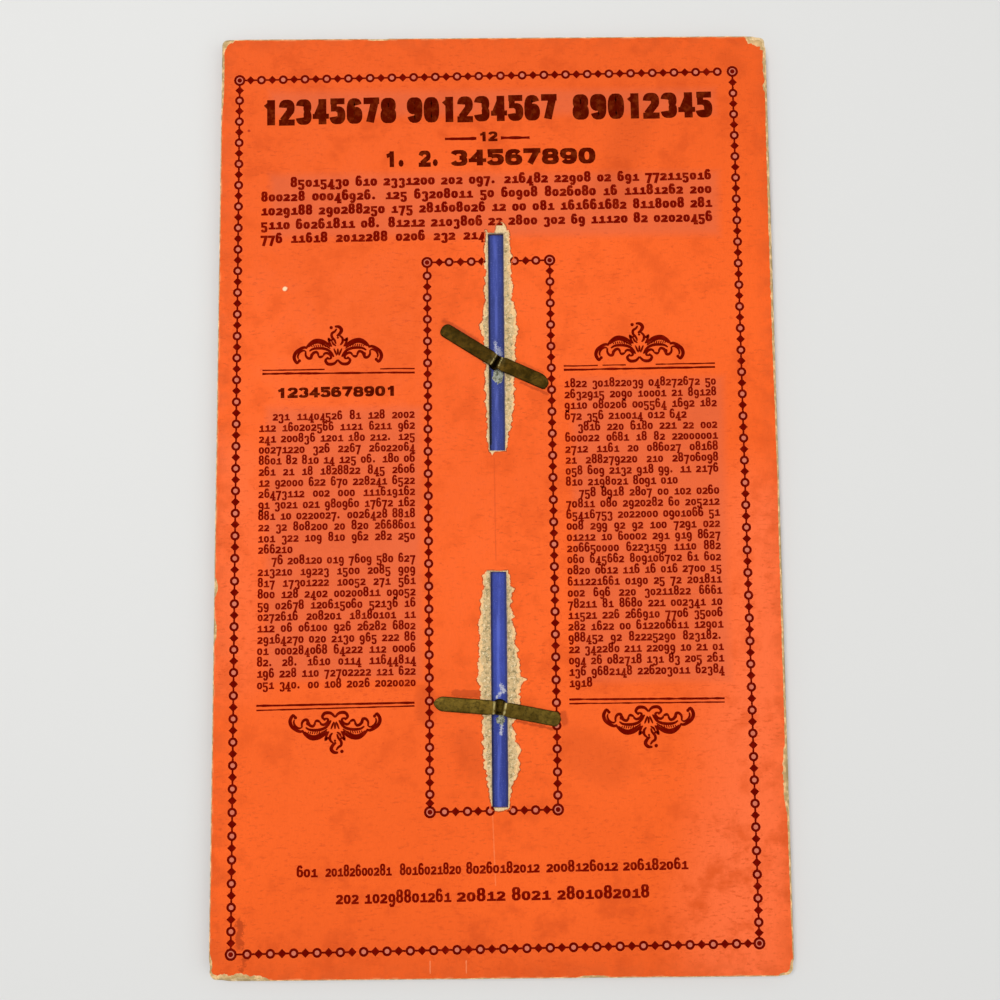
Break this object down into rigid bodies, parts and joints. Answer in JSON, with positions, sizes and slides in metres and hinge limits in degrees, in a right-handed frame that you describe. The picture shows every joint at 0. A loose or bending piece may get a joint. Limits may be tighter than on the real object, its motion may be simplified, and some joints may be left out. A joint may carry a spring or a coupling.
{
  "type": "perpetual calendar",
  "caption": "Flat slide calendar: a windowed top card rides on brass split pins along slots in a larger bottom card, so that its windows step over the rows printed behind it.",
  "frame": {"origin": "under the middle of the bottom card, at the level of the pin heads' lowest points, on which the calendar lies face down", "axes": "+X across the card, to the right as its back is read; +Y to the head of the card; +Z out of the bottom card's back"},
  "size_m": [0.1412, 0.236, 0.0053],
  "materials": {
    "pulp_board": "matte",
    "orange_paper": "satin",
    "blue_paper": "satin",
    "tarnished_brass": "satin",
    "printing_ink": "matte"
  },
  "bodies": {
    "bottom_card": {"bottom_card_board": "pulp_board", "bottom_card_back_paper": "orange_paper", "bottom_card_front_paper": "orange_paper"},
    "top_card": {"top_card_board": "pulp_board", "top_card_back_paper": "blue_paper", "top_card_front_paper": "blue_paper"},
    "upper_pin": {"upper_pin_cap": "tarnished_brass", "upper_pin_legs": "tarnished_brass"},
    "lower_pin": {"lower_pin_cap": "tarnished_brass", "lower_pin_legs": "tarnished_brass"}
  },
  "joints": [
    {"name": "top_card_slide", "type": "slide", "parent": "bottom_card", "child": "top_card", "axis": [0, 1, 0], "range_m": [-0.0205, 0.0313]},
    {"name": "upper_pin_turn", "type": "hinge", "parent": "top_card", "child": "upper_pin", "pos_m": [0, 0.03259, 0.003], "axis": [0, 0, 1], "range_deg": [-31, 88]},
    {"name": "lower_pin_turn", "type": "hinge", "parent": "top_card", "child": "lower_pin", "pos_m": [0, -0.05361, 0.003], "axis": [0, 0, 1], "range_deg": [-52, 68]}
  ]
}
